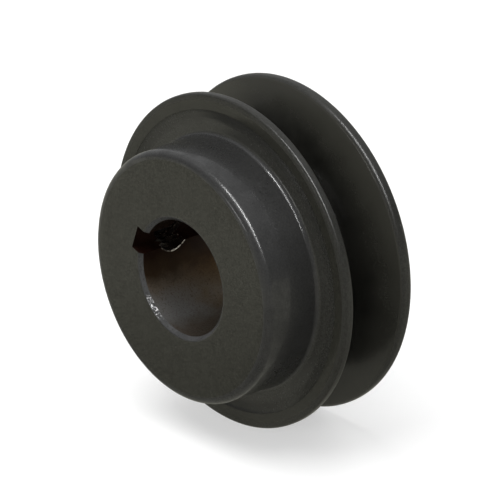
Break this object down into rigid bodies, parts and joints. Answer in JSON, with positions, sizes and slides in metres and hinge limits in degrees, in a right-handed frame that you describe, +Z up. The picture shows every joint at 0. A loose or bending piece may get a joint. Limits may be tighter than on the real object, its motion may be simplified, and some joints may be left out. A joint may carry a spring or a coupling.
{
  "type": "v belt pulley",
  "caption": "Finished-bore V-belt pulley: single grooved cast rim, long hub on one side, bevelled keyed bore, and a hex-socket set screw that slides in to press on the key.",
  "frame": {"origin": "on the bore's axis, in the middle plane of the belt groove", "axes": "+Y along the bore, from the long hub to the plain back face; +Z up, with the pulley standing on its rim"},
  "size_m": [0.0826, 0.0367, 0.0826],
  "materials": {
    "painted_casting": "satin dark grey paint over cast iron, bore and keyway bare",
    "black_oxide_steel": "black oxide"
  },
  "bodies": {
    "pulley": {"pulley_body": "painted_casting"},
    "screw": {"set_screw": "black_oxide_steel"}
  },
  "joints": [
    {"name": "set_screw_slide", "type": "slide", "parent": "pulley", "child": "screw", "axis": [-0.9426, 0, 0.3338], "range_m": [-0.00159, 0.00476]}
  ]
}
